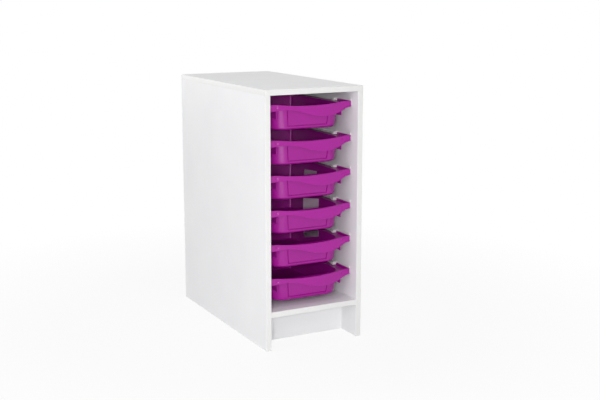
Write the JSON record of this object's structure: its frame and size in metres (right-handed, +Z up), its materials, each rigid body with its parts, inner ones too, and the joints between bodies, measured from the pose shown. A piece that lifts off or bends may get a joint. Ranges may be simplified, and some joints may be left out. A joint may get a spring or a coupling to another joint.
{
  "type": "tray storage unit",
  "caption": "Tall narrow white board cabinet with a recessed plinth, open at the front, holding a column of purple moulded trays that slide out on plastic side runners.",
  "frame": {"origin": "middle of the footprint, on the floor", "axes": "+Z up, -Y towards the open front, +X to the right of someone who faces the front"},
  "size_m": [0.35, 0.7, 0.84],
  "materials": {
    "white_board": "white melamine-faced chipboard, fine matt grain",
    "white_edging": "white extruded edging, satin",
    "back_board": "white faced thin fibreboard, matt",
    "tray_plastic": "purple injection-moulded polypropylene, semi-gloss",
    "runner_plastic": "white extruded plastic, satin",
    "zinc_screw": "bright zinc-plated steel",
    "beech_dowel": "turned beech",
    "label_paper": "blank self-adhesive paper label, matt"
  },
  "bodies": {
    "carcass": {"left_side_panel": "white_board", "right_side_panel": "white_board", "top_panel": "white_board", "base_shelf": "white_board", "plinth_board": "white_board", "back_panel": "back_board", "top_front_edging": "white_edging", "top_rear_edging": "white_edging", "top_left_edging": "white_edging", "top_right_edging": "white_edging", "left_side_edging": "white_edging", "right_side_edging": "white_edging", "base_shelf_edging": "white_edging", "top_dowels": "beech_dowel", "base_shelf_dowels": "beech_dowel", "plinth_dowels": "beech_dowel", "left_runner_1": "runner_plastic", "right_runner_1": "runner_plastic", "left_runner_2": "runner_plastic", "right_runner_2": "runner_plastic", "left_runner_3": "runner_plastic", "right_runner_3": "runner_plastic", "left_runner_4": "runner_plastic", "right_runner_4": "runner_plastic", "left_runner_5": "runner_plastic", "right_runner_5": "runner_plastic", "left_runner_6": "runner_plastic", "right_runner_6": "runner_plastic", "left_runner_screws": "zinc_screw", "right_runner_screws": "zinc_screw"},
    "tray_1": {"tray_1": "tray_plastic"},
    "tray_2": {"tray_2": "tray_plastic"},
    "tray_3": {"tray_3": "tray_plastic"},
    "tray_4": {"tray_4": "tray_plastic"},
    "tray_5": {"tray_5": "tray_plastic"},
    "tray_6": {"tray_6": "tray_plastic"}
  },
  "joints": [
    {"name": "tray_1_slide", "type": "slide", "parent": "carcass", "child": "tray_1", "axis": [0, -1, 0], "range_m": [0, 0.26]},
    {"name": "tray_2_slide", "type": "slide", "parent": "carcass", "child": "tray_2", "axis": [0, -1, 0], "range_m": [0, 0.26]},
    {"name": "tray_3_slide", "type": "slide", "parent": "carcass", "child": "tray_3", "axis": [0, -1, 0], "range_m": [0, 0.26]},
    {"name": "tray_4_slide", "type": "slide", "parent": "carcass", "child": "tray_4", "axis": [0, -1, 0], "range_m": [0, 0.26]},
    {"name": "tray_5_slide", "type": "slide", "parent": "carcass", "child": "tray_5", "axis": [0, -1, 0], "range_m": [0, 0.26]},
    {"name": "tray_6_slide", "type": "slide", "parent": "carcass", "child": "tray_6", "axis": [0, -1, 0], "range_m": [0, 0.26]}
  ]
}
